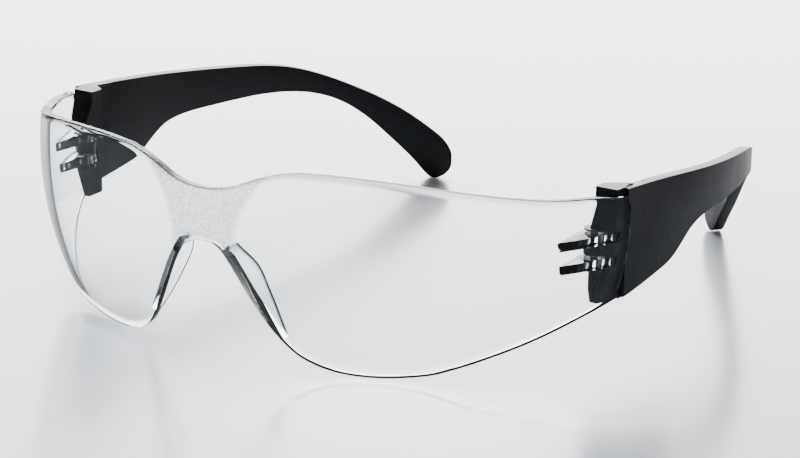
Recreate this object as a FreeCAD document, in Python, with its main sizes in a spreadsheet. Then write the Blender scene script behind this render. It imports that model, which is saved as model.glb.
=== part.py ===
"""Safety glasses with one wrap-round shield lens and two folding temples.

Frame: X is across the face, Y runs from the lens back to the temple tips, Z is up.
The glasses stand open on a table: the two lobes of the lens and the two temple tips
touch Z = 0, and the origin is at the middle of the footprint.
The wearer's left side (positive X) is modelled and the other side is its mirror image.
"""
import FreeCAD, Part
import math
import os

Vector = FreeCAD.Vector
UP = Vector(0, 0, 1)

doc = FreeCAD.newDocument("SafetyGlasses")
sheet = doc.addObject("Spreadsheet::Sheet", "Sizes")

# alias, value (mm or degrees), what it is
SIZES = [
    # lens shell: three tangent arcs in plan, one arc from brow to cheek
    ("lens_wall", 2.2, "thickness of the moulded shield"),
    ("front_radius", 90.0, "plan radius across the face"),
    ("front_angle", 33.0, "where the front arc ends, degrees from straight ahead"),
    ("corner_radius", 37.0, "plan radius where the shield turns back"),
    ("corner_angle", 52.6, "where the corner arc ends"),
    ("side_radius", 84.0, "plan radius along the temple side"),
    ("wrap_angle", 75.2, "where the shield ends"),
    ("bulge_radius", 74.0, "radius from brow to cheek"),
    ("bulge_height", 36.0, "height of the foremost line above the table"),
    # heights of the brow line and of the cheek line above the table
    ("bridge_top", 39.2, "top of the shield at the nose bridge"),
    ("brow_top", 45.1, "highest point of the brow"),
    ("wing_top", 38.4, "top of the shield near its rear end"),
    ("nose_top", 27.4, "top of the nose arch"),
    ("wing_bottom", 15.4, "bottom of the shield at its rear end"),
    # nose flanges, moulded on the arch
    ("flange_depth", 5.6, "how far a flange stands behind the shield"),
    ("flange_wall", 1.7, "thickness of a flange"),
    ("flange_splay", 2.0, "outward lean of a flange towards the back, degrees"),
    # hinge lugs, moulded on the inside of the shield
    ("lug_wall", 2.1, "thickness of a lug"),
    ("lug_low", 23.3, "height of the underside of the lower lug"),
    ("lug_pitch", 5.2, "spacing of the two lugs"),
    ("lug_angle", 62.0, "where the root of a lug starts, degrees round the shield"),
    ("lug_boss_radius", 2.3, "radius of a lug round the pin"),
    # hinge pin
    ("pin_diameter", 1.6, "diameter of the hinge pin"),
    ("pin_set_in", 4.0, "pin axis to the inner surface of the shield, square to it"),
    ("pin_set_forward", 4.0, "pin axis to the rear end of the shield"),
    ("pin_play", 0.04, "radial clearance of the pin in a lug"),
    # temple arm
    ("arm_wall", 2.6, "thickness of the arm"),
    ("arm_set_in", 1.5, "outer face of the arm inside the widest point of the shield"),
    ("arm_straight", 25.0, "straight length behind the shield"),
    ("arm_bend_radius", 170.0, "plan radius of the middle of the arm"),
    ("arm_bend_length", 40.0, "length of the gently bent middle"),
    ("ear_bend_radius", 90.0, "plan radius of the ear piece"),
    ("arm_length", 122.0, "developed length of the arm"),
    # heights of the arm
    ("arm_top", 39.4, "top of the arm at the hinge"),
    ("arm_bottom", 15.8, "bottom of the arm at the hinge"),
    ("waist_top", 33.9, "top of the slim middle of the arm"),
    ("waist_bottom", 26.0, "bottom of the slim middle of the arm"),
    # hinge block on the inside of the arm
    ("knuckle_radius", 2.2, "radius of the block round the pin"),
    ("block_proud", 3.9, "how far the block stands inside the arm"),
    ("block_nose", 1.2, "how far the block stands in front of the pin axis"),
    ("block_back", 1.2, "rear face of the block behind the front of the arm"),
    ("bar_depth", 3.6, "front to back of the block at its top"),
    ("bar_lip", 2.4, "height of the upright top of the block"),
    ("block_low", 15.0, "underside of the block"),
    ("belly_low", 22.2, "lower end of the full knuckle"),
    ("belly_high", 31.2, "upper end of the full knuckle"),
    ("slot_reach", 3.8, "how far a slot runs behind the pin axis"),
    ("slot_play", 0.25, "gap above and below a lug in its slot"),
    ("stop_gap", 0.25, "gap between moving surfaces of the arm and the shield"),
]
for row, (alias, value, meaning) in enumerate(SIZES, start=1):
    sheet.set("A%d" % row, alias)
    sheet.set("B%d" % row, str(value))
    sheet.set("C%d" % row, meaning)
    sheet.setAlias("B%d" % row, alias)
doc.recompute()


class Size:
    """Reads a driving dimension from the sheet by its name."""

    def __getattr__(self, alias):
        return float(sheet.get(alias))


size = Size()
derived = []


def add(kind, name, **bound):
    """Adds an object and binds its properties to expressions on the sheet."""
    thing = doc.addObject(kind, name)
    for prop, expression in bound.items():
        thing.setExpression(prop.replace("__", "."), expression)
    return thing


def derive(alias, value, meaning):
    """Writes a place worked out from the sizes into the sheet, so that features can bind to it."""
    row = len(SIZES) + len(derived) + 2
    derived.append(alias)
    sheet.set("A%d" % row, alias)
    sheet.set("B%d" % row, "%.6f" % value)
    sheet.set("C%d" % row, meaning)
    sheet.setAlias("B%d" % row, alias)
    doc.recompute()


def boolean(kind, name, first, *others):
    """Adds a cut, a fuse or a common of objects of the document."""
    if kind == "Part::Cut" and len(others) > 1:
        others = (boolean("Part::MultiFuse", name + "_tools", *others),)
    if kind in ("Part::Cut", "Part::Common"):
        result = doc.addObject(kind, name)
        result.Base = first
        result.Tool = others[0]
    else:
        result = doc.addObject(kind, name)
        result.Shapes = [first] + list(others)
        result.Refine = True
    return result


def mirror(name, source):
    """Adds the mirror image of an object on the other side of the nose."""
    image = doc.addObject("Part::Mirroring", name)
    image.Source = source
    image.Normal = Vector(1, 0, 0)
    return image


def made(name, shape):
    """Adds a free-form shape, made from the sheet's values, as an object."""
    thing = doc.addObject("Part::Feature", name)
    thing.Shape = shape
    return thing


def extruded(name, source, direction, length):
    """Adds the solid swept by a closed outline."""
    thing = doc.addObject("Part::Extrusion", name)
    thing.Base = source
    thing.DirMode = "Custom"
    thing.Dir = direction
    thing.setExpression("LengthFwd", length)
    thing.Solid = True
    return thing


# ---------------------------------------------------------------- lens shell

def unit(angle):
    """Outward direction of the shield in plan, at an angle from straight ahead."""
    return Vector(math.sin(math.radians(angle)), -math.cos(math.radians(angle)), 0)


def cosine(angle):
    return math.cos(math.radians(angle))


# Turns of the two bends of the arm, in radians.
TURN_1 = size.arm_bend_length / size.arm_bend_radius
TURN_2 = (size.arm_length - size.arm_straight - size.arm_bend_length) / size.ear_bend_radius
SHELL_DEPTH = (size.front_radius
               - (size.front_radius - size.corner_radius) * cosine(size.front_angle)
               - (size.corner_radius - size.side_radius) * cosine(size.corner_angle)
               - (size.side_radius - size.lens_wall) * cosine(size.wrap_angle))
ARM_DEPTH = (size.arm_straight
             + size.arm_bend_radius * math.sin(TURN_1)
             + size.ear_bend_radius * (math.sin(TURN_1 + TURN_2) - math.sin(TURN_1)))
FRONT_Y = -(SHELL_DEPTH + size.stop_gap + ARM_DEPTH) / 2
FRONT_CENTRE = Vector(0, FRONT_Y + size.front_radius, 0)
CORNER_CENTRE = FRONT_CENTRE + unit(size.front_angle) * (size.front_radius - size.corner_radius)
SIDE_CENTRE = CORNER_CENTRE + unit(size.corner_angle) * (size.corner_radius - size.side_radius)


def plan_arc(angle):
    """Centre and radius of the plan arc that holds an angle."""
    if angle <= size.front_angle:
        return FRONT_CENTRE, size.front_radius
    if angle <= size.corner_angle:
        return CORNER_CENTRE, size.corner_radius
    return SIDE_CENTRE, size.side_radius


def shell_point(angle, height, depth):
    """Point at a depth under the outer surface of the shield."""
    centre, radius = plan_arc(angle)
    tilt = math.asin((height - size.bulge_height) / size.bulge_radius)
    level = size.bulge_radius - (size.bulge_radius - depth) * math.cos(tilt)
    rise = (size.bulge_radius - depth) * math.sin(tilt)
    return centre + unit(angle) * (radius - level) + UP * (size.bulge_height + rise)


def section_arc(radius, low, high):
    """Brow to cheek arc of a given radius, in the middle plane of the shield."""
    def at(height):
        rise = height - size.bulge_height
        back = FRONT_Y + size.bulge_radius - math.sqrt(radius ** 2 - rise ** 2)
        return Vector(0, back, height)
    return Part.Arc(at(low), at((low + high) / 2), at(high))


def shell_band(name, plan, outside, inside, reach):
    """Band of the untrimmed shield along a plan line, from a depth outside to a depth inside."""
    low = -reach
    high = size.brow_top + reach
    outer = section_arc(size.bulge_radius - outside, low, high)
    inner = section_arc(size.bulge_radius - inside, low, high)
    section = made(name + "_section", Part.Wire([
        outer.toShape(),
        Part.makeLine(outer.EndPoint, inner.EndPoint),
        inner.toShape(),
        Part.makeLine(inner.StartPoint, outer.StartPoint),
    ]))
    sweep = doc.addObject("Part::Sweep", name)
    sweep.Sections = [section]
    sweep.Spine = (plan, [])
    sweep.Solid = True
    sweep.Frenet = False
    return sweep


def plan_line(name, angles):
    """Chain of the tangent plan arcs between the given angles."""
    arcs = []
    for start, end in zip(angles, angles[1:]):
        centre, radius = plan_arc(end)
        middle = (start + end) / 2
        points = [centre + unit(a) * radius + UP * size.bulge_height for a in (start, middle, end)]
        arcs.append(Part.Arc(*points).toShape())
    return made(name, Part.Wire(arcs))


half_plan = plan_line("half_plan", [0, size.front_angle, size.corner_angle, size.wrap_angle])
EDGE_REACH = 3.0
half_shell = shell_band("half_shell", half_plan, 0.0, size.lens_wall, EDGE_REACH)

# The brow line and the cheek line: angle round the shield, height above the table.
# Stations over the nose keep their angles; the others are shares of the way round.
DROP = size.brow_top - size.wing_top
STEP = size.brow_top - size.bridge_top
WRAP = size.wrap_angle
BROW = [
    (0, size.bridge_top),
    (4, size.bridge_top + 0.14 * STEP),
    (8, size.bridge_top + 0.58 * STEP),
    (12, size.bridge_top + 0.90 * STEP),
    (17, size.brow_top),
    (0.32 * WRAP, size.brow_top - 0.05 * DROP),
    (0.53 * WRAP, size.brow_top - 0.33 * DROP),
    (0.80 * WRAP, size.brow_top - 0.75 * DROP),
    (0.96 * WRAP, size.wing_top),
    (0.992 * WRAP, size.wing_top - 0.9),
    (WRAP, size.wing_top - 2.6),
]
CHEEK = [
    (0, size.nose_top),
    (3, size.nose_top - 1.2),
    (5, 0.79 * size.nose_top),
    (7, 0.59 * size.nose_top),
    (9, 0.41 * size.nose_top),
    (11, 0.26 * size.nose_top),
    (13, 0.15 * size.nose_top),
    (15.5, 0.075 * size.nose_top),
    (18.5, 0.025 * size.nose_top),
    (0.29 * WRAP, 0.10),
    (0.33 * WRAP, 0.05),
    (0.385 * WRAP, 0.033 * size.wing_bottom),
    (0.43 * WRAP, 0.08 * size.wing_bottom),
    (0.545 * WRAP, 0.18 * size.wing_bottom),
    (0.665 * WRAP, 0.28 * size.wing_bottom),
    (0.80 * WRAP, 0.525 * size.wing_bottom),
    (0.905 * WRAP, 0.78 * size.wing_bottom),
    (WRAP, size.wing_bottom),
]
TRIM_OUT = 6.0
TRIM_IN = 16.0


def smooth(points):
    """Edge of the smooth curve through some points."""
    curve = Part.BSplineCurve()
    curve.interpolate(points)
    return curve.toShape()


def rim_curve(line, depth):
    """Smooth edge along a rim line, at a depth under the outer surface, both sides of the nose."""
    half = [shell_point(angle, height, depth) for angle, height in line]
    other = [Vector(-p.x, p.y, p.z) for p in half[:0:-1]]
    return smooth(other + half)


def trimmer(name, outer, inner, sweep):
    """Solid on one side of a rim, which runs square through the wall."""
    return made(name, Part.makeRuledSurface(outer, inner).extrude(sweep))


def shell_trimmer(name, line, sweep):
    """Solid above the brow line or below the cheek line."""
    return trimmer(name, rim_curve(line, -TRIM_OUT), rim_curve(line, TRIM_IN), sweep)


above_brow = shell_trimmer("above_brow", BROW, UP * 25)
below_cheek = shell_trimmer("below_cheek", CHEEK, UP * -60)
trimmed_shell = boolean("Part::Cut", "trimmed_shell", half_shell, above_brow, below_cheek)


# ---------------------------------------------------------------- hinge axis

def lean(height):
    """How far the inner surface of the shield leans inwards at a height."""
    inner = size.bulge_radius - size.lens_wall
    return inner - math.sqrt(inner ** 2 - (size.bulge_height - height) ** 2)


SHELL_END = shell_point(size.wrap_angle, size.bulge_height, 0)
SHELL_INNER_END = shell_point(size.wrap_angle, size.bulge_height, size.lens_wall)
TURN_GAP = 1.5 * size.stop_gap
PIN_Y = SHELL_INNER_END.y - size.pin_set_forward
PIN_X = SIDE_CENTRE.x + math.sqrt((size.side_radius - size.lens_wall - size.pin_set_in) ** 2
                                  - (PIN_Y - SIDE_CENTRE.y) ** 2)
derive("pin_x", PIN_X, "pin axis to the left of the nose")
derive("pin_y", PIN_Y, "pin axis along the glasses")

# ---------------------------------------------------------------- hinge lugs


def lug_outline():
    """Triangular plate: root in the middle of the wall, a free inner edge, a boss round the pin."""
    middle = size.side_radius - 0.55 * size.lens_wall
    root_end = size.wrap_angle - 1.0
    root = [SIDE_CENTRE + unit(a) * middle
            for a in (size.lug_angle, (size.lug_angle + root_end) / 2, root_end)]
    tip = shell_point(size.lug_angle, size.bulge_height, size.lens_wall)
    pin = Vector(PIN_X, PIN_Y, 0)
    boss = size.lug_boss_radius
    inward = pin + Vector(-boss, 0, 0)
    around = pin + Vector(-boss, boss, 0) * math.sqrt(0.5)
    behind = pin + Vector(0, boss, 0)
    tip = Vector(tip.x, tip.y, 0)
    root = [Vector(p.x, p.y, 0) for p in root]
    shoulder = Vector(inward.x, inward.y - 1.2 * boss, 0)
    return Part.Face(Part.Wire([
        Part.Arc(*root).toShape(),
        Part.makeLine(root[2], behind),
        Part.Arc(behind, around, inward).toShape(),
        Part.makeLine(inward, shoulder),
        Part.makeLine(shoulder, tip),
        Part.makeLine(tip, root[0]),
    ]))


lug_plan = made("lug_plan", lug_outline())
lugs = []
for number, level in enumerate(("Sizes.lug_low", "Sizes.lug_low + Sizes.lug_pitch"), start=1):
    lug = extruded("lug_%d" % number, lug_plan, UP, "Sizes.lug_wall")
    lug.setExpression("Placement.Base.z", level)
    lugs.append(lug)
pin_bore = add("Part::Cylinder", "pin_bore", Radius="Sizes.pin_diameter / 2 + Sizes.pin_play",
               Height="3 * Sizes.lug_pitch", Placement__Base__x="Sizes.pin_x",
               Placement__Base__y="Sizes.pin_y",
               Placement__Base__z="Sizes.lug_low - Sizes.lug_pitch")

# ---------------------------------------------------------------- nose flanges


# How much of its full depth a flange has at each angle of the cheek line.
FLANGE_SHARE = {3: 0.62, 5: 1.0, 7: 0.82, 9: 0.46, 11: 0.0}


def nose_flange():
    """Leaf that stands behind one side of the nose arch."""
    splay = math.radians(size.flange_splay)
    back = Vector(math.sin(splay), math.cos(splay), 0)
    root = []
    free = []
    for angle, height in CHEEK:
        if angle in FLANGE_SHARE:
            depth = FLANGE_SHARE[angle] * size.flange_depth
            root.append(shell_point(angle, height, size.lens_wall / 2))
            free.append(root[-1] + back * (0.45 * size.lens_wall + depth))
    run = root[-1] - root[0]
    into_lens = Vector(-run.z, 0, run.x).normalize()
    return Part.makeRuledSurface(smooth(root), smooth(free)).extrude(into_lens * size.flange_wall)


flange = made("nose_flange", nose_flange())
half_lens = boolean("Part::MultiFuse", "half_lens", trimmed_shell, flange, *lugs)
bored_half = boolean("Part::Cut", "bored_half", half_lens, pin_bore)
shield_lens = boolean("Part::MultiFuse", "shield_lens", bored_half, mirror("other_half", bored_half))

# ---------------------------------------------------------------- temple arm

ARM_X = SHELL_END.x - size.arm_set_in
ARM_Y = SHELL_INNER_END.y + size.stop_gap
BEND_1 = Vector(ARM_X - size.arm_bend_radius, ARM_Y + size.arm_straight, 0)


def along(turn):
    """Outward direction of the arm after it has turned inwards by an angle in radians."""
    return Vector(math.cos(turn), math.sin(turn), 0)


BEND_2 = BEND_1 + along(TURN_1) * (size.arm_bend_radius - size.ear_bend_radius)


def arm_point(run, height, depth=0.0):
    """Point on the arm at a developed length from its front, at a depth under its outer face."""
    bend = run - size.arm_straight
    if bend <= 0:
        spot = Vector(ARM_X - depth, ARM_Y + run, 0)
    elif bend <= size.arm_bend_length:
        spot = BEND_1 + along(bend / size.arm_bend_radius) * (size.arm_bend_radius - depth)
    else:
        turn = TURN_1 + (bend - size.arm_bend_length) / size.ear_bend_radius
        spot = BEND_2 + along(turn) * (size.ear_bend_radius - depth)
    return spot + UP * height


def arm_face(depth):
    """Plan line of one face of the arm: a straight and two tangent arcs."""
    bend_end = size.arm_straight + size.arm_bend_length
    runs = [0, size.arm_straight, bend_end, size.arm_length]
    spots = [arm_point(run, 0, depth) for run in runs]
    gentle = arm_point((runs[1] + runs[2]) / 2, 0, depth)
    ear = arm_point((runs[2] + runs[3]) / 2, 0, depth)
    return [Part.makeLine(spots[0], spots[1]), Part.Arc(spots[1], gentle, spots[2]).toShape(),
            Part.Arc(spots[2], ear, spots[3]).toShape()]


def arm_plan():
    """Bent strip of the arm's thickness, seen from above."""
    ends = [Part.makeLine(arm_point(run, 0), arm_point(run, 0, size.arm_wall))
            for run in (0, size.arm_length)]
    return Part.Face(Part.Wire(Part.__sortEdges__(arm_face(0) + arm_face(size.arm_wall) + ends)))


# Upper and lower edge of the arm: developed length, height.
LONG = size.arm_length
UPPER = [
    (0, size.arm_top),
    (0.165 * LONG, 0.725 * size.arm_top + 0.275 * size.waist_top),
    (0.33 * LONG, 0.36 * size.arm_top + 0.64 * size.waist_top),
    (0.49 * LONG, size.waist_top),
    (0.615 * LONG, 0.938 * size.waist_top),
    (0.70 * LONG, 0.85 * size.waist_top),
    (0.78 * LONG, 0.735 * size.waist_top),
    (0.885 * LONG, 0.548 * size.waist_top),
    (LONG - 5, 0.366 * size.waist_top),
    (LONG - 1.2, 0.26 * size.waist_top),
    (LONG, 0.185 * size.waist_top),
]
LOWER = [
    (0, size.arm_bottom),
    (0.062 * LONG, size.arm_bottom + 0.9),
    (0.131 * LONG, size.arm_bottom + 2.2),
    (0.18 * LONG, 0.645 * size.arm_bottom + 0.355 * size.waist_bottom),
    (0.213 * LONG, 0.43 * size.arm_bottom + 0.57 * size.waist_bottom),
    (0.257 * LONG, 0.15 * size.arm_bottom + 0.85 * size.waist_bottom),
    (0.295 * LONG, 0.98 * size.waist_bottom),
    (0.395 * LONG, 0.997 * size.waist_bottom),
    (0.49 * LONG, size.waist_bottom),
    (0.598 * LONG, 0.988 * size.waist_bottom),
    (0.721 * LONG, 0.88 * size.waist_bottom),
    (0.816 * LONG, 0.632 * size.waist_bottom),
    (0.885 * LONG, 0.346 * size.waist_bottom),
    (0.932 * LONG, 0.125 * size.waist_bottom),
    (LONG - 4.5, 0.008 * size.waist_bottom),
    (LONG - 1.4, 0.05 * size.waist_bottom),
    (LONG, 0.14 * size.waist_bottom),
]
ARM_TRIM = 5.0


def arm_trimmer(name, line, sweep):
    """Solid above the upper edge or below the lower edge of the arm."""
    outer = smooth([arm_point(run, height, -ARM_TRIM) for run, height in line])
    inner = smooth([arm_point(run, height, size.arm_wall + ARM_TRIM) for run, height in line])
    return trimmer(name, outer, inner, sweep)


arm_strip = extruded("arm_strip", made("arm_plan", arm_plan()), UP, "Sizes.arm_top + 5")
arm = boolean("Part::Cut", "arm", arm_strip,
              arm_trimmer("above_arm", UPPER, UP * 50),
              arm_trimmer("below_arm", LOWER, UP * -50))
doc.recompute()


# ---------------------------------------------------------------- hinge block

BLOCK_IN = ARM_X - size.arm_wall - size.block_proud
BLOCK_OUT = ARM_X - size.arm_wall / 2
BLOCK_END = ARM_Y + size.block_back
CHAMFER_END = BLOCK_END + 0.8 * size.block_proud


def outline(name, corners):
    """Flat face with straight sides."""
    loop = [Vector(*corner) for corner in corners]
    return made(name, Part.Face(Part.makePolygon(loop + loop[:1])))


def block_side():
    """Side view of the block: full depth at the pin, narrower above, round at the foot."""
    front = PIN_Y - size.block_nose
    foot = size.block_low + 1.6 * size.block_nose
    bend = math.sqrt(0.5)
    reach = 1.6 * size.block_nose
    corners = [
        Vector(0, front, foot),
        Vector(0, front, size.belly_high),
        Vector(0, BLOCK_END - size.bar_depth, size.arm_top - size.bar_lip),
        Vector(0, BLOCK_END - size.bar_depth, size.arm_top),
        Vector(0, CHAMFER_END, size.arm_top),
        Vector(0, CHAMFER_END, size.block_low + 0.3 * size.block_nose),
        Vector(0, front + reach, size.block_low),
    ]
    round_foot = Part.Arc(corners[-1], Vector(0, front + reach * (1 - bend), foot - reach * bend),
                          corners[0])
    edges = [Part.makeLine(a, b) for a, b in zip(corners, corners[1:])]
    return Part.Face(Part.Wire(edges + [round_foot.toShape()]))


bar_plan = outline("bar_plan", [
    (BLOCK_IN, PIN_Y - 2 * size.block_nose, 0),
    (BLOCK_IN, BLOCK_END, 0),
    (ARM_X - size.arm_wall, CHAMFER_END, 0),
    (BLOCK_OUT, CHAMFER_END, 0),
    (BLOCK_OUT, PIN_Y - 2 * size.block_nose, 0),
])
bar = boolean("Part::Common", "bar", extruded("bar_column", bar_plan, UP, "Sizes.arm_top + 5"),
              extruded("bar_slab", made("block_side", block_side()), Vector(1, 0, 0), "100"))
knuckle = add("Part::Cylinder", "knuckle", Radius="Sizes.knuckle_radius",
              Height="Sizes.belly_high - Sizes.belly_low", Placement__Base__x="Sizes.pin_x",
              Placement__Base__y="Sizes.pin_y", Placement__Base__z="Sizes.belly_low")
END_GAP_ANGLE = math.degrees(1.2 * size.stop_gap / size.side_radius)
room_plan = plan_line("room_plan", [0, size.front_angle, size.corner_angle,
                                    size.wrap_angle + END_GAP_ANGLE])
ROOM_REACH = 5.0
shell_room = shell_band("shell_room", room_plan, -ROOM_REACH, size.lens_wall + size.stop_gap,
                        EDGE_REACH + ROOM_REACH)

# The shield leans inwards towards the cheek, so the block narrows about the pin axis below.
TURN_TIP = 0.3
TURN_HIGH = size.pin_set_in - lean(size.belly_low) - TURN_GAP
TIP_LEVEL = size.bulge_radius - size.lens_wall - (size.pin_set_in - TURN_GAP - TURN_TIP)
TURN_BASE = size.bulge_height - math.sqrt((size.bulge_radius - size.lens_wall) ** 2 - TIP_LEVEL ** 2)
derive("turn_tip", TURN_TIP, "radius that folds clear at the foot of the block")
derive("turn_high", TURN_HIGH, "radius that folds clear under the knuckle")
derive("turn_base", TURN_BASE, "height where the foot of the block starts to narrow")
ON_PIN = {"Placement__Base__x": "Sizes.pin_x", "Placement__Base__y": "Sizes.pin_y"}
turning_foot = add("Part::Cone", "turning_foot", Radius1="Sizes.turn_tip", Radius2="Sizes.turn_high",
                   Height="Sizes.belly_low - Sizes.turn_base",
                   Placement__Base__z="Sizes.turn_base", **ON_PIN)
turning_top = add("Part::Cylinder", "turning_top", Radius="Sizes.turn_high",
                  Height="Sizes.arm_top - Sizes.belly_low", Placement__Base__z="Sizes.belly_low",
                  **ON_PIN)
bar_front = add("Part::Box", "bar_front", Length="8 * Sizes.knuckle_radius",
                Width="4 * Sizes.knuckle_radius", Height="Sizes.arm_top",
                Placement__Base__x="Sizes.pin_x - 4 * Sizes.knuckle_radius",
                Placement__Base__y="Sizes.pin_y - 4 * Sizes.knuckle_radius")
turning_room = boolean("Part::Cut", "turning_room", bar_front, turning_foot, turning_top)
slots = []
for number, level in enumerate(("Sizes.lug_low", "Sizes.lug_low + Sizes.lug_pitch"), start=1):
    slots.append(add("Part::Box", "slot_%d" % number, Length="8 * Sizes.knuckle_radius",
                     Width="4 * Sizes.knuckle_radius + Sizes.slot_reach",
                     Height="Sizes.lug_wall + 2 * Sizes.slot_play",
                     Placement__Base__x="Sizes.pin_x - 4 * Sizes.knuckle_radius",
                     Placement__Base__y="Sizes.pin_y - 4 * Sizes.knuckle_radius",
                     Placement__Base__z=level + " - Sizes.slot_play"))
PIN_FIT = {
    "Radius": "Sizes.pin_diameter / 2",
    "Height": "Sizes.belly_high - Sizes.belly_low",
    "Placement__Base__z": "Sizes.belly_low",
    **ON_PIN,
}
pin_seat = add("Part::Cylinder", "pin_seat", **PIN_FIT)
block = boolean("Part::Cut", "block", bar, turning_room)
whole_temple = boolean("Part::MultiFuse", "whole_temple", arm, block, knuckle)
left_temple = boolean("Part::Cut", "left_temple", whole_temple, shell_room, pin_seat, *slots)
right_temple = mirror("right_temple", left_temple)
left_pin = add("Part::Cylinder", "left_hinge_pin", **PIN_FIT)
right_pin = mirror("right_hinge_pin", left_pin)

# ---------------------------------------------------------------- finished pieces

NODES = [shield_lens, left_temple, right_temple, left_pin, right_pin]
doc.recompute()
for item in doc.Objects:
    if "Invalid" in item.State or "Error" in item.State:
        raise RuntimeError("%s failed: %s" % (item.Label, item.State))
for node in NODES:
    if node.Shape.isNull() or not node.Shape.isValid():
        raise RuntimeError("%s has a bad shape" % node.Label)
os.makedirs("parts", exist_ok=True)
for node in NODES:
    node.Shape.exportStep("parts/%s.step" % node.Label)
    print(node.Label, "solids:", len(node.Shape.Solids), "mm3:", round(node.Shape.Volume, 1))
print("hinge axis", round(PIN_X, 3), round(PIN_Y, 3))
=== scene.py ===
"""Safety glasses with one clear wrap-round shield lens and two black folding temples.

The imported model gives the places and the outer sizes. The shield is remodelled here
with a finely spun skin, a leaf on each side of the nose arch and two lugs at each hinge.
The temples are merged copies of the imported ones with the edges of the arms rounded.
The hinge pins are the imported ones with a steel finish.
"""
import math

import bmesh
import bpy
from mathutils import Matrix, Vector


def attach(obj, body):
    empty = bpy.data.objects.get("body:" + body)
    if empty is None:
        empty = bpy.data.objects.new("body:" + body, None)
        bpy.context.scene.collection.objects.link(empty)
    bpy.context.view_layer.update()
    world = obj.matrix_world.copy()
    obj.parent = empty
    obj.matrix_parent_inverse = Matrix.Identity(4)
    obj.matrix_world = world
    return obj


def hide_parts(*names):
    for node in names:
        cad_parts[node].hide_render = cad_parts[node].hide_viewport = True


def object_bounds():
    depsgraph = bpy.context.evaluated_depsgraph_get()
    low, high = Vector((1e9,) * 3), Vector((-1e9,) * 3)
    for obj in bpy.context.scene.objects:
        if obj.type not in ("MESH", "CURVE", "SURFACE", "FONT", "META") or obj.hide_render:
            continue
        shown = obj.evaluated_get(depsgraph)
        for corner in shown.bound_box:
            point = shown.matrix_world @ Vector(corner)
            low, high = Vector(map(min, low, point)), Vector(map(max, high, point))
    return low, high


bl_info = {
    "name": "Safety Glasses",
    "version": (1, 0, 0),
    "blender": (4, 5, 0),
    "location": "3D View > Sidebar > Glasses",
    "description": "Builds a pair of clear wrap-round safety glasses over its packed model",
    "category": "Object",
}

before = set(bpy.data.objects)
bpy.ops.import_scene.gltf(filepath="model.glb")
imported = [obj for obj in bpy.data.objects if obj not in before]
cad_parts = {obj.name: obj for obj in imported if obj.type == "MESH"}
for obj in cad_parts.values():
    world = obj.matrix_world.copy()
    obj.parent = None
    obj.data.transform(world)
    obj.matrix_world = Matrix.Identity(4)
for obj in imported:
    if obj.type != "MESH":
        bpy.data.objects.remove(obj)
CAD_LOW, CAD_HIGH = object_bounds()
MM = 0.001
UP = Vector((0, 0, 1))
SHIELD_WALL = 2.2 * MM
MERGE = 1e-6

# ---------------------------------------------------------------- sizes and colours


class ShieldSettings(bpy.types.PropertyGroup):
    """Sizes and colours of the clear shield."""

    wall: bpy.props.FloatProperty(
        name="Wall", description="Thickness of the shield", default=SHIELD_WALL, unit="LENGTH"
    )
    rim_round: bpy.props.FloatProperty(
        name="Rim rounding", description="Rounding of the rims", default=0.32 * MM, unit="LENGTH"
    )
    lug_round: bpy.props.FloatProperty(
        name="Lug rounding", description="Rounding of lugs and leaves", default=0.3 * MM,
        unit="LENGTH"
    )
    rows: bpy.props.IntProperty(
        name="Rows", description="Faces from brow to cheek", default=24, min=8, max=60
    )
    tint: bpy.props.FloatVectorProperty(
        name="Tint", description="Colour that the clear plastic gives to light",
        default=(0.985, 0.992, 0.995), size=3, subtype="COLOR", min=0, max=1
    )
    depth_tint: bpy.props.FloatVectorProperty(
        name="Depth tint", description="Colour of light that runs a long way inside the plastic",
        default=(0.50, 0.58, 0.64), size=3, subtype="COLOR", min=0, max=1
    )
    depth_density: bpy.props.FloatProperty(
        name="Depth density", description="How fast the plastic takes up light, per metre",
        default=28.0, min=0.0
    )
    index: bpy.props.FloatProperty(
        name="Refractive index", description="Bending of light by the plastic", default=1.585
    )
    gloss: bpy.props.FloatProperty(
        name="Gloss", description="Share of the mirror reflection that the skin keeps",
        default=0.35, min=0, max=1
    )
    frost: bpy.props.FloatProperty(
        name="Frost", description="Roughness of the stippled bridge", default=0.3, min=0, max=1
    )
    veil: bpy.props.FloatProperty(
        name="Stipple veil", description="Share of the light that the stipple scatters",
        default=0.65, min=0, max=1
    )
    veil_dark: bpy.props.FloatVectorProperty(
        name="Veil between grains", description="Colour of the stipple between its grains",
        default=(0.30, 0.32, 0.36), size=3, subtype="COLOR", min=0, max=1
    )
    veil_light: bpy.props.FloatVectorProperty(
        name="Veil on grains", description="Colour of the grains of the stipple",
        default=(0.62, 0.64, 0.68), size=3, subtype="COLOR", min=0, max=1
    )


class TempleSettings(bpy.types.PropertyGroup):
    """Colours and edges of the two temples."""

    colour: bpy.props.FloatVectorProperty(
        name="Colour", description="Colour of the moulded arms",
        default=(0.0085, 0.0093, 0.0115), size=3, subtype="COLOR", min=0, max=1
    )
    sheen_colour: bpy.props.FloatVectorProperty(
        name="Worn colour", description="Colour of the lighter mottling",
        default=(0.014, 0.0155, 0.0185), size=3, subtype="COLOR", min=0, max=1
    )
    roughness: bpy.props.FloatProperty(
        name="Roughness", description="Roughness of the satin skin", default=0.42, min=0, max=1
    )
    edge_round: bpy.props.FloatProperty(
        name="Edge rounding", description="Rounding of the edges", default=0.5 * MM, unit="LENGTH"
    )
    free_from: bpy.props.FloatProperty(
        name="Rounded from", description="Where the rounding starts, behind the hinge pin",
        default=12 * MM, unit="LENGTH"
    )


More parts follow.
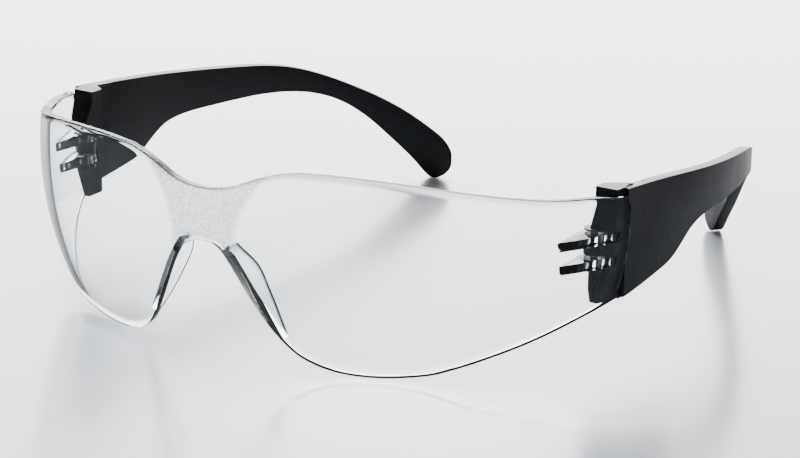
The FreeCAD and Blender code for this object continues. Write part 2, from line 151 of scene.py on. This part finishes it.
class StageSettings(bpy.types.PropertyGroup):
    """Floor, lights and camera."""

    # painted light and shade: the floor's bluish colour is set darker in front and paler at the
    # back, standing in for the fall of the light across the table
    floor_tint_painted_front_shade: bpy.props.FloatVectorProperty(
        name="Floor colour", description="Colour of the floor in front",
        default=(0.40, 0.46, 0.56), size=3, subtype="COLOR", min=0, max=1
    )
    floor_tint_painted_back_light: bpy.props.FloatVectorProperty(
        name="Back colour", description="Colour of the floor far behind the glasses",
        default=(0.86, 0.88, 0.93), size=3, subtype="COLOR", min=0, max=1
    )
    key_power: bpy.props.FloatProperty(
        name="Overhead light", description="Power of the soft light above", default=20.0,
        unit="POWER"
    )
    panel_power: bpy.props.FloatProperty(
        name="Back panel", description="Power of the wide panel behind", default=95.0,
        unit="POWER"
    )
    fill: bpy.props.FloatProperty(
        name="Surroundings", description="Strength of the even light all round", default=0.10
    )


# ---------------------------------------------------------------- shape of the shield

FRONT_Y = CAD_LOW.y
FRONT_RADIUS, FRONT_ANGLE = 90.0 * MM, 33.0
CORNER_RADIUS, CORNER_ANGLE = 37.0 * MM, 52.6
SIDE_RADIUS, WRAP_ANGLE = 84.0 * MM, 75.2
BULGE_RADIUS, BULGE_HEIGHT = 74.0 * MM, 36.0 * MM

# Brow line and cheek line: angle round the shield, height above the table in mm.
BROW = [(0, 39.2), (4, 40.03), (8, 42.62), (12, 44.51), (17, 45.1), (24, 44.77), (40, 42.89),
        (60, 40.08), (72.2, 38.4), (74.6, 37.5), (75.2, 35.8)]
CHEEK = [(0, 27.4), (3, 26.2), (5, 21.65), (7, 16.17), (9, 11.23), (11, 7.12), (13, 4.11),
         (15.5, 2.06), (18.5, 0.69), (21.81, 0.10), (24.82, 0.05), (28.95, 0.51), (32.34, 1.23),
         (40.98, 2.77), (50.01, 4.31), (60.16, 8.09), (68.06, 12.01), (75.2, 15.4)]


def outward(angle):
    """Direction out of the shield in plan, at an angle from straight ahead."""
    return Vector((math.sin(math.radians(angle)), -math.cos(math.radians(angle)), 0))


FRONT_CENTRE = Vector((0, FRONT_Y + FRONT_RADIUS, 0))
CORNER_CENTRE = FRONT_CENTRE + outward(FRONT_ANGLE) * (FRONT_RADIUS - CORNER_RADIUS)
SIDE_CENTRE = CORNER_CENTRE + outward(CORNER_ANGLE) * (CORNER_RADIUS - SIDE_RADIUS)
ARCS = [(FRONT_ANGLE, FRONT_CENTRE, FRONT_RADIUS), (CORNER_ANGLE, CORNER_CENTRE, CORNER_RADIUS),
        (WRAP_ANGLE, SIDE_CENTRE, SIDE_RADIUS)]


def plan_arc(angle):
    """Centre and radius of the plan arc that holds an angle."""
    for end, centre, radius in ARCS:
        if angle <= end + 1e-6:
            return centre, radius
    return centre, radius


def shield_point(angle, height, depth=0.0):
    """Point at a depth under the outer surface of the shield."""
    centre, radius = plan_arc(angle)
    tilt = math.asin((height - BULGE_HEIGHT) / BULGE_RADIUS)
    level = BULGE_RADIUS - (BULGE_RADIUS - depth) * math.cos(tilt)
    rise = (BULGE_RADIUS - depth) * math.sin(tilt)
    return centre + outward(angle) * (radius - level) + UP * (BULGE_HEIGHT + rise)


def way_round(angle):
    """Distance along the plan line from the nose to an angle."""
    way, start = 0.0, 0.0
    for end, _, radius in ARCS:
        way += math.radians(max(min(angle, end) - start, 0.0)) * radius
        start = end
    return way


def angle_of(point):
    """Angle round the shield of a point on it, on the wearer's left."""
    for end, centre, radius in ARCS:
        angle = math.degrees(math.atan2(point.x - centre.x, centre.y - point.y))
        if angle <= end + 1e-4:
            return angle
    return angle


class Line:
    """Smooth curve through (place, value) pairs, level where it meets its mirror image."""

    def __init__(self, pairs):
        self.x = [p[0] for p in pairs]
        self.y = [p[1] for p in pairs]
        steps = list(zip(self.x, self.x[1:], self.y, self.y[1:]))
        slopes = [(d - c) / (b - a) for a, b, c, d in steps]
        self.tangents = [0.0]
        for i in range(1, len(self.x) - 1):
            before, after = self.x[i] - self.x[i - 1], self.x[i + 1] - self.x[i]
            mean = (slopes[i - 1] * after + slopes[i] * before) / (before + after)
            self.tangents.append(mean)
        self.tangents.append(slopes[-1])

    def at(self, x):
        i = max(k for k in range(len(self.x) - 1) if k == 0 or self.x[k] <= x)
        span = self.x[i + 1] - self.x[i]
        t = (x - self.x[i]) / span
        start = self.y[i] * (2 * t**3 - 3 * t**2 + 1) + self.y[i + 1] * (3 * t**2 - 2 * t**3)
        bend = self.tangents[i] * (t**3 - 2 * t**2 + t) + self.tangents[i + 1] * (t**3 - t**2)
        return start + span * bend


BROW_LINE = Line([(way_round(angle), height * MM) for angle, height in BROW])
CHEEK_LINE = Line([(way_round(angle), height * MM) for angle, height in CHEEK])


SKIN_LOW, SKIN_HIGH = 1 * MM, 44 * MM
SKIN_STEP = 0.5 * MM
SEAM_MERGE = 0.02 * MM


def chain_end(geometry):
    """Vertices and edges of the newest chain that a spin made."""
    return [g for g in geometry if isinstance(g, (bmesh.types.BMVert, bmesh.types.BMEdge))]


def sharp_edges(bm, least):
    """Edges whose faces meet at more than an angle in degrees."""
    return [e for e in bm.edges
            if e.is_manifold and e.calc_face_angle(0.0) > math.radians(least)]


def soften(bm, width, least=50, segments=3):
    """Rounds the sharp edges of a bmesh."""
    bmesh.ops.bevel(bm, geom=sharp_edges(bm, least), offset=width, segments=segments,
                    profile=0.5, affect="EDGES", material=-1, clamp_overlap=False)


def spun_skin(rows):
    """Outer skin of the shield: an arc from cheek to brow, spun round the three plan centres."""
    bm = bmesh.new()
    low = shield_point(0, SKIN_LOW)
    first = bm.verts.new(low)
    high = shield_point(0, SKIN_HIGH)
    bulge_centre = Vector((0, FRONT_Y + BULGE_RADIUS, BULGE_HEIGHT))
    sweep = (low - bulge_centre).angle(high - bulge_centre)
    bmesh.ops.spin(bm, geom=[first], cent=bulge_centre, axis=(-1, 0, 0), angle=sweep, steps=rows)
    bm.verts.ensure_lookup_table()
    rank = bm.verts.layers.float.new("share")
    for number, vert in enumerate(sorted(bm.verts, key=lambda v: v.co.z)):
        vert[rank] = number / rows
    last = list(bm.verts) + list(bm.edges)
    start = 0.0
    for end, centre, radius in ARCS:
        steps = max(8, round((end - start) * math.radians(1) * radius / SKIN_STEP))
        spun = bmesh.ops.spin(bm, geom=last, cent=centre, axis=UP,
                              angle=math.radians(end - start), steps=steps)
        last = chain_end(spun["geom_last"])
        start = end
    bmesh.ops.remove_doubles(bm, verts=bm.verts, dist=MERGE)
    for vert in bm.verts:
        angle = min(max(angle_of(vert.co), 0.0), WRAP_ANGLE)
        floor = CHEEK_LINE.at(way_round(angle))
        top = BROW_LINE.at(way_round(angle))
        vert.co = shield_point(angle, floor + vert[rank] * (top - floor))
    bmesh.ops.mirror(bm, geom=bm.verts[:] + bm.edges[:] + bm.faces[:], axis="X",
                     merge_dist=SEAM_MERGE)
    bmesh.ops.recalc_face_normals(bm, faces=bm.faces)
    front = min(bm.faces, key=lambda f: f.calc_center_median().y)
    if front.normal.y > 0:
        bmesh.ops.reverse_faces(bm, faces=bm.faces)
    return bm


def stored(bm, name):
    """Turns a bmesh into an object of the scene."""
    mesh = bpy.data.meshes.new(name)
    bm.to_mesh(mesh)
    bm.free()
    made = bpy.data.objects.new(name, mesh)
    bpy.context.scene.collection.objects.link(made)
    return made


def applied(made):
    """Freezes an object's modifiers into its mesh."""
    bpy.context.view_layer.update()
    depsgraph = bpy.context.evaluated_depsgraph_get()
    finished = bpy.data.meshes.new_from_object(made.evaluated_get(depsgraph))
    made.modifiers.clear()
    made.data = finished
    return made


def combine(target, operation, tools):
    """Joins pieces to an object, or cuts them from it, and removes them."""
    for tool in tools:
        modifier = target.modifiers.new(operation, "BOOLEAN")
        modifier.operation = operation
        modifier.solver = "MANIFOLD"
        modifier.object = tool
    applied(target)
    for tool in tools:
        bpy.data.objects.remove(tool)


def smooth_shading(made, least=35):
    """Smooth faces with sharp edges kept."""
    for polygon in made.data.polygons:
        polygon.use_smooth = True
    made.data.set_sharp_from_angle(angle=math.radians(least))


# ---------------------------------------------------------------- leaves and lugs

PIN_X, PIN_Y = 65.238 * MM, -33.704 * MM
PIN_RADIUS = 0.8 * MM
LUG_LOWS = (23.3 * MM, 28.5 * MM)
LUG_WALL = 2.1 * MM
LUG_ANGLE = 62.0
LUG_BOSS = 2.3 * MM
LEAF_DEPTHS = [(3, 3.47), (5, 5.6), (7, 4.59), (9, 2.58), (11, 0.0)]
LEAF_WALL = 1.7 * MM
LEAF_ROOT = 0.45
LEAF_SPLAY = 0.035
LUG_RUN = 6
BOSS_RUN = 8
BORE_PLAY = 0.04 * MM
BORE_LENGTH, BORE_MIDDLE = 14 * MM, 27 * MM


def nose_leaf(wall, rounding):
    """Leaf behind one side of the nose arch."""
    run, across = 24, 6
    depth = Line(LEAF_DEPTHS)
    first, last = LEAF_DEPTHS[0][0], LEAF_DEPTHS[-1][0]
    bm = bmesh.new()
    bmesh.ops.create_grid(bm, x_segments=run, y_segments=across, size=0.5)
    for vert in bm.verts:
        along, back = vert.co.x + 0.5, vert.co.y + 0.5
        angle = first + along * (last - first)
        reach = (LEAF_ROOT * wall) + max(depth.at(angle), 0.0) * MM
        root = shield_point(angle, CHEEK_LINE.at(way_round(angle)), wall / 2)
        vert.co = root + Vector((LEAF_SPLAY, 1, 0)) * (reach * back)
    bmesh.ops.recalc_face_normals(bm, faces=bm.faces)
    inward = sum((f.normal for f in bm.faces), Vector())
    if inward.x > 0:
        bmesh.ops.reverse_faces(bm, faces=bm.faces)
    bmesh.ops.solidify(bm, geom=bm.faces[:], thickness=LEAF_WALL)
    bmesh.ops.recalc_face_normals(bm, faces=bm.faces)
    soften(bm, rounding)
    return bm


def lug(low, rounding):
    """Triangular plate with a boss round the pin, on the wearer's left."""
    bm = bmesh.new()
    middle = SIDE_RADIUS - SHIELD_WALL / 2
    root_end = WRAP_ANGLE - 1.0
    spots = []
    for i in range(LUG_RUN + 1):
        angle = LUG_ANGLE + (root_end - LUG_ANGLE) * i / LUG_RUN
        spots.append(SIDE_CENTRE + outward(angle) * middle)
    pin = Vector((PIN_X, PIN_Y, 0))
    for i in range(BOSS_RUN + 1):
        turn = math.radians(90 + 90 * i / BOSS_RUN)
        spots.append(pin + Vector((math.cos(turn), math.sin(turn), 0)) * LUG_BOSS)
    spots.append(spots[-1] + Vector((0, -1.2 * LUG_BOSS, 0)))
    tip = shield_point(LUG_ANGLE, BULGE_HEIGHT, SHIELD_WALL)
    spots.append(Vector((tip.x, tip.y, 0)))
    face = bm.faces.new([bm.verts.new(s + UP * low) for s in spots])
    raised = bmesh.ops.extrude_face_region(bm, geom=[face])
    bmesh.ops.translate(bm, vec=UP * LUG_WALL,
                        verts=[g for g in raised["geom"] if isinstance(g, bmesh.types.BMVert)])
    bmesh.ops.recalc_face_normals(bm, faces=bm.faces)
    soften(bm, rounding, segments=2)
    return bm


def pin_hole():
    """Round cutter for the bores of the two lugs on one side."""
    bm = bmesh.new()
    radius = PIN_RADIUS + BORE_PLAY
    bmesh.ops.create_cone(bm, cap_ends=True, segments=32, radius1=radius, radius2=radius,
                          depth=BORE_LENGTH)
    bmesh.ops.translate(bm, verts=bm.verts, vec=(PIN_X, PIN_Y, BORE_MIDDLE))
    return bm


def both_sides(name, make):
    """A piece on the wearer's left and its mirror image."""
    found = []
    for side, scale in (("left", 1), ("right", -1)):
        bm = make()
        if scale < 0:
            bmesh.ops.scale(bm, vec=(-1, 1, 1), verts=bm.verts)
            bmesh.ops.reverse_faces(bm, faces=bm.faces)
        found.append(stored(bm, name + "_" + side))
    return found


# ---------------------------------------------------------------- shader tools


class Socket:
    """A number in a shader, on which sums are written as plain expressions."""

    def __init__(self, tree, output):
        self.tree = tree
        self.output = output

    def joined(self, operation, first, second=None):
        node = self.tree.nodes.new("ShaderNodeMath")
        node.operation = operation
        for place, value in enumerate((first, second)):
            if isinstance(value, Socket):
                self.tree.links.new(value.output, node.inputs[place])
            elif value is not None:
                node.inputs[place].default_value = value
        return Socket(self.tree, node.outputs[0])

    def __add__(self, other):
        return self.joined("ADD", self, other)

    def __radd__(self, other):
        return self.joined("ADD", other, self)

    def __sub__(self, other):
        return self.joined("SUBTRACT", self, other)

    def __rsub__(self, other):
        return self.joined("SUBTRACT", other, self)

    def __mul__(self, other):
        return self.joined("MULTIPLY", self, other)

    def __rmul__(self, other):
        return self.joined("MULTIPLY", other, self)

    def __abs__(self):
        return self.joined("ABSOLUTE", self)

    def power(self, other):
        return self.joined("POWER", self, other)

    def most(self, other):
        return self.joined("MAXIMUM", self, other)

    def clear_step(self, low, high):
        """0 below low and 1 above high, with a smooth step between."""
        node = self.tree.nodes.new("ShaderNodeMapRange")
        node.interpolation_type = "SMOOTHSTEP"
        node.inputs["From Min"].default_value = low
        node.inputs["From Max"].default_value = high
        self.tree.links.new(self.output, node.inputs["Value"])
        return Socket(self.tree, node.outputs["Result"])


class Finish:
    """A material under construction."""

    def __init__(self, name):
        self.material = bpy.data.materials.new(name)
        self.material.use_nodes = True
        self.tree = self.material.node_tree
        self.shader = self.tree.nodes["Principled BSDF"]
        self.out = self.tree.nodes["Material Output"]
        self.place = self.node("TexCoord").outputs["Object"]

    def node(self, kind, settings=None, inputs=None):
        """Adds a node, sets it up and fills its sockets with values or links."""
        made = self.tree.nodes.new("ShaderNode" + kind)
        for key, value in (settings or {}).items():
            setattr(made, key, value)
        for key, value in (inputs or {}).items():
            socket = value.output if isinstance(value, Socket) else value
            if isinstance(socket, bpy.types.NodeSocket):
                self.tree.links.new(socket, made.inputs[key])
            else:
                made.inputs[key].default_value = socket
        return made

    def value(self, output):
        return Socket(self.tree, output)

    def noise(self, scale, detail=3.0, roughness=0.5, stretch=None):
        """Soft random pattern on object coordinates, its scale in waves per metre."""
        place = self.place
        if stretch:
            place = self.node("Mapping", inputs={"Vector": place, "Scale": stretch}).outputs[0]
        made = self.node("TexNoise", inputs={"Vector": place, "Scale": scale, "Detail": detail,
                                             "Roughness": roughness})
        return self.value(made.outputs["Fac"])

    def mixed(self, factor, first, second):
        """Colour between two colours."""
        made = self.node("Mix", {"data_type": "RGBA"})
        self.fill(made.inputs["Factor"], factor)
        self.fill(made.inputs[6], first)
        self.fill(made.inputs[7], second)
        return made.outputs[2]

    def fill(self, socket, value):
        """Sets or links one socket."""
        value = value.output if isinstance(value, Socket) else value
        if isinstance(value, bpy.types.NodeSocket):
            self.tree.links.new(value, socket)
        elif socket.type == "RGBA":
            socket.default_value = (*value, 1.0)
        else:
            socket.default_value = value

    def set(self, **values):
        """Sets sockets of the main shader by their names, with _ for a space."""
        for key, value in values.items():
            self.fill(self.shader.inputs[key.replace("_", " ")], value)

    def bump(self, height, distance, strength=1.0):
        """Makes the surface look raised where a pattern is high."""
        made = self.node("Bump", inputs={"Height": height, "Distance": distance,
                                         "Strength": strength})
        self.tree.links.new(made.outputs[0], self.shader.inputs["Normal"])

    def axes(self):
        """The three object coordinates as numbers in millimetres."""
        split = self.node("SeparateXYZ", inputs={"Vector": self.place})
        return [self.value(output) * 1000.0 for output in split.outputs]


# the stippled field, in millimetres from the middle and up from the table
FIELD_HALF_WIDTH, FIELD_NECK, FIELD_LOW = 7.6, 28.3, 25.5
FIELD_FLARE, FIELD_CURVE = 0.062, 1.75


def clear_plastic(settings):
    """Clear polycarbonate with a finely stippled nose bridge."""
    finish = Finish("clear_polycarbonate")
    x, y, z = finish.axes()
    # the field narrows below the brow and its sides are hollow arcs
    waist = FIELD_HALF_WIDTH + (z - FIELD_NECK).most(0.0).power(FIELD_CURVE) * FIELD_FLARE
    field = 1 - (abs(x) - waist).clear_step(-0.5, 0.5)
    field = field * (z - FIELD_LOW).clear_step(-1.0, 1.0)
    grain = finish.noise(2600.0, 2.0, 0.6)
    coarse = finish.noise(700.0, 2.0)
    rough = field * (0.75 + 0.25 * coarse) * settings.frost
    grained = finish.node("Bump", inputs={"Height": grain * field, "Distance": 0.00006,
                                          "Strength": 0.6}).outputs[0]
    clear = finish.node("BsdfRefraction", inputs={"Roughness": rough, "IOR": settings.index,
                                                  "Normal": grained})
    clear.inputs["Color"].default_value = (*settings.tint, 1)
    gloss = finish.node("BsdfGlossy", inputs={"Roughness": rough, "Normal": grained})
    gloss.inputs["Color"].default_value = (1, 1, 1, 1)
    fresnel = finish.value(finish.node("Fresnel", inputs={"IOR": settings.index}).outputs[0])
    wall = finish.node("MixShader", inputs={0: fresnel * settings.gloss})
    finish.tree.links.new(clear.outputs[0], wall.inputs[1])
    finish.tree.links.new(gloss.outputs[0], wall.inputs[2])
    # the stipple scatters a little light, brighter on its grains
    stipple = finish.noise(2400.0, 2.0, 0.6).clear_step(0.42, 0.6)
    finish.set(Base_Color=finish.mixed(stipple, tuple(settings.veil_dark),
                                       tuple(settings.veil_light)),
               Roughness=0.55)
    share = field * (0.18 + 0.34 * stipple) * settings.veil
    veiled = finish.node("MixShader", inputs={0: share})
    finish.tree.links.new(wall.outputs[0], veiled.inputs[1])
    finish.tree.links.new(finish.shader.outputs[0], veiled.inputs[2])
    # lamps shine through, so a clear wall leaves only a pale shadow
    path = finish.node("LightPath")
    through = finish.node("BsdfTransparent", inputs={"Color": (0.93, 0.945, 0.955, 1)})
    mix = finish.node("MixShader", inputs={0: path.outputs["Is Shadow Ray"]})
    finish.tree.links.new(veiled.outputs[0], mix.inputs[1])
    finish.tree.links.new(through.outputs[0], mix.inputs[2])
    finish.tree.links.new(mix.outputs[0], finish.out.inputs["Surface"])
    absorb = finish.node("VolumeAbsorption", inputs={"Density": settings.depth_density})
    absorb.inputs["Color"].default_value = (*settings.depth_tint, 1)
    finish.tree.links.new(absorb.outputs[0], finish.out.inputs["Volume"])
    return finish.material


def satin_black(settings):
    """Black nylon with a fine moulded grain, faint mottling and a few pale specks."""
    finish = Finish("satin_black_nylon")
    cloud = finish.noise(160.0, 4.0, 0.6)
    grain = finish.noise(2400.0, 2.0, 0.5)
    specks = finish.noise(900.0, 1.0, 0.4).clear_step(0.70, 0.76)
    base = finish.mixed(cloud.clear_step(0.35, 0.75), tuple(settings.colour),
                        tuple(settings.sheen_colour))
    finish.set(Base_Color=finish.mixed(specks * 0.5, base, (0.04, 0.04, 0.042)),
               Roughness=settings.roughness + cloud * 0.14 - specks * 0.1, IOR=1.5,
               Specular_IOR_Level=0.25)
    finish.bump(grain, 0.00005, 0.35)
    return finish.material


def drawn_steel():
    """Steel wire with fine lengthwise draw marks."""
    finish = Finish("drawn_steel_wire")
    marks = finish.noise(3000.0, 2.0, 0.5, (1.0, 1.0, 0.06))
    cloud = finish.noise(500.0, 2.0)
    finish.set(Base_Color=finish.mixed(cloud, (0.46, 0.46, 0.45), (0.60, 0.60, 0.60)),
               Metallic=1.0, Roughness=0.24 + marks * 0.16)
    finish.bump(marks, 0.00001, 0.3)
    return finish.material


# range, in mm across the table, over which the painted light fades from the back to the front
FLOOR_PAINTED_LIGHT_FADE = (-180.0, 260.0)


def studio_floor(settings):
    """Table top with a weak gloss; painted light and shade make its colour paler behind the
    glasses than in front.
    """
    finish = Finish("pale_table")
    cloud = finish.noise(2.5, 2.0)
    fine = finish.noise(900.0, 2.0)
    # painted light and shade: the sheet's colour is paler towards the back, away from the camera,
    # and darker in front, standing in for the fall of the light
    x, y, _ = finish.axes()
    back = (y * 0.82 - x * 0.49).clear_step(*FLOOR_PAINTED_LIGHT_FADE)
    light = finish.mixed(back, tuple(settings.floor_tint_painted_front_shade), tuple(settings.floor_tint_painted_back_light))
    # a slightly dimmer tone of the painted floor colour, mixed in by a broad random cloud
    shade = finish.mixed(0.985, (0, 0, 0), light)
    finish.set(Base_Color=finish.mixed(cloud, shade, light), Roughness=0.2 + 0.05 * fine,
               IOR=1.5)
    return finish.material


# ---------------------------------------------------------------- operators


def merged_copy(node, name):
    """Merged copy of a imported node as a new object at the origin."""
    bm = bmesh.new()
    bm.from_mesh(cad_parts[node].data)
    bmesh.ops.remove_doubles(bm, verts=bm.verts, dist=MERGE)
    bmesh.ops.dissolve_limit(bm, angle_limit=math.radians(0.3), verts=bm.verts, edges=bm.edges)
    return stored(bm, name)


class GLASSES_OT_shield(bpy.types.Operator):
    """Models the clear shield with its nose leaves and hinge lugs"""

    bl_idname = "glasses.shield"
    bl_label = "Clear shield"

    def execute(self, context):
        settings = context.scene.glasses_shield
        bm = spun_skin(settings.rows)
        bmesh.ops.solidify(bm, geom=bm.faces[:], thickness=settings.wall)
        soften(bm, settings.rim_round)
        shield = stored(bm, "clear_shield")
        tools = both_sides("leaf", lambda: nose_leaf(settings.wall, settings.lug_round))
        for number, low in enumerate(LUG_LOWS):
            tools += both_sides("lug_%d" % number, lambda: lug(low, settings.lug_round))
        combine(shield, "UNION", tools)
        combine(shield, "DIFFERENCE", both_sides("bore", pin_hole))
        smooth_shading(shield)
        shield.data.materials.clear()
        shield.data.materials.append(clear_plastic(settings))
        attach(shield, "shield")
        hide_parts("shield_lens")
        return {"FINISHED"}


class GLASSES_OT_temples(bpy.types.Operator):
    """Softens and paints the two black temples"""

    bl_idname = "glasses.temples"
    bl_label = "Temples"

    def execute(self, context):
        settings = context.scene.glasses_temples
        black = satin_black(settings)
        for side in ("left", "right"):
            node = side + "_temple"
            temple = merged_copy(node, side + "_arm_moulding")
            bm = bmesh.new()
            bm.from_mesh(temple.data)
            # the arm behind the hinge block, where the edges run long and free
            free = [e for e in sharp_edges(bm, 40)
                    if min(v.co.y for v in e.verts) > PIN_Y + settings.free_from]
            bmesh.ops.bevel(bm, geom=free, offset=settings.edge_round, segments=3, profile=0.5,
                            affect="EDGES", material=-1, clamp_overlap=True)
            bm.to_mesh(temple.data)
            bm.free()
            smooth_shading(temple)
            temple.data.materials.clear()
            temple.data.materials.append(black)
            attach(temple, side + "_arm")
            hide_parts(node)
        return {"FINISHED"}


class GLASSES_OT_pins(bpy.types.Operator):
    """Paints the two hinge pins"""

    bl_idname = "glasses.pins"
    bl_label = "Hinge pins"

    def execute(self, context):
        steel = drawn_steel()
        for side in ("left", "right"):
            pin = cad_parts[side + "_hinge_pin"]
            if not pin.material_slots:
                pin.data.materials.append(steel)
            for slot in pin.material_slots:
                slot.material = steel
        return {"FINISHED"}


SHEET_HALF = 6.0
PANEL_PLACE, PANEL_AIM, PANEL_SIZE = (-1.1, 1.8, 0.42), (0, 0, 0.1), (3.0, 0.8)
KEY_PLACE, KEY_AIM, KEY_SIZE = (-0.5, 0.75, 0.7), (-0.05, 0.1, 0), (0.5, 0.5)
KEY_COLOUR = (1.0, 0.985, 0.96)
SURROUNDINGS = (0.95, 0.97, 1, 1)
CAMERA_PLACE = (0.392213, -0.657313, 0.230361)
CAMERA_RIGHT = (0.8527, 0.5215, 0.0322)
CAMERA_BACK = (0.494, -0.8248, 0.2751)
CAMERA_LENS = 157.97


def soft_lamp(name, place, target, size, power, colour=(1, 1, 1)):
    """Square area light that faces a point."""
    lamp = bpy.data.lights.new(name, "AREA")
    lamp.shape = "RECTANGLE"
    lamp.size, lamp.size_y = size
    lamp.energy = power
    lamp.color = colour
    made = bpy.data.objects.new(name, lamp)
    made.location = place
    made.rotation_euler = (Vector(place) - Vector(target)).to_track_quat("Z", "Y").to_euler()
    bpy.context.scene.collection.objects.link(made)
    return made


class GLASSES_OT_stage(bpy.types.Operator):
    """Adds the table, the lights and the camera"""

    bl_idname = "glasses.stage"
    bl_label = "Stage"

    def execute(self, context):
        settings = context.scene.glasses_stage
        bm = bmesh.new()
        bmesh.ops.create_grid(bm, x_segments=1, y_segments=1, size=SHEET_HALF)
        floor = stored(bm, "table")
        floor.data.materials.append(studio_floor(settings))
        soft_lamp("back_panel", PANEL_PLACE, PANEL_AIM, PANEL_SIZE, settings.panel_power)
        soft_lamp("overhead", KEY_PLACE, KEY_AIM, KEY_SIZE, settings.key_power, KEY_COLOUR)
        world = bpy.data.worlds.new("studio")
        world.use_nodes = True
        background = world.node_tree.nodes["Background"]
        background.inputs["Color"].default_value = SURROUNDINGS
        background.inputs["Strength"].default_value = settings.fill
        context.scene.world = world
        camera = bpy.data.cameras.new("camera")
        camera.sensor_width = 36
        camera.lens = CAMERA_LENS
        camera.clip_start, camera.clip_end = 0.05, 50
        made = bpy.data.objects.new("camera", camera)
        right = Vector(CAMERA_RIGHT).normalized()
        back = Vector(CAMERA_BACK).normalized()
        up = back.cross(right).normalized()
        right = up.cross(back)
        turned = Matrix((right, up, back)).transposed().to_4x4()
        made.matrix_world = Matrix.Translation(CAMERA_PLACE) @ turned
        context.scene.collection.objects.link(made)
        context.scene.camera = made
        return {"FINISHED"}


class GLASSES_PT_panel(bpy.types.Panel):
    """Lists the parts of the glasses in the sidebar"""

    bl_idname = "GLASSES_PT_panel"
    bl_label = "Safety Glasses"
    bl_space_type = "VIEW_3D"
    bl_region_type = "UI"
    bl_category = "Glasses"

    def draw(self, context):
        for group in (context.scene.glasses_shield, context.scene.glasses_temples,
                      context.scene.glasses_stage):
            box = self.layout.box()
            for key in group.__annotations__:
                box.prop(group, key)
        for operator in OPERATORS:
            self.layout.operator(operator.bl_idname)


OPERATORS = (GLASSES_OT_shield, GLASSES_OT_temples, GLASSES_OT_pins, GLASSES_OT_stage)
GROUPS = {
    "glasses_shield": ShieldSettings,
    "glasses_temples": TempleSettings,
    "glasses_stage": StageSettings,
}


def register():
    for name, group in GROUPS.items():
        bpy.utils.register_class(group)
        setattr(bpy.types.Scene, name, bpy.props.PointerProperty(type=group))
    for item in (*OPERATORS, GLASSES_PT_panel):
        bpy.utils.register_class(item)


def unregister():
    for item in (GLASSES_PT_panel, *OPERATORS):
        bpy.utils.unregister_class(item)
    for name, group in GROUPS.items():
        delattr(bpy.types.Scene, name)
        bpy.utils.unregister_class(group)


def main():
    register()
    bpy.ops.glasses.shield()
    bpy.ops.glasses.temples()
    bpy.ops.glasses.pins()
    bpy.ops.glasses.stage()


if __name__ == "__main__":
    main()
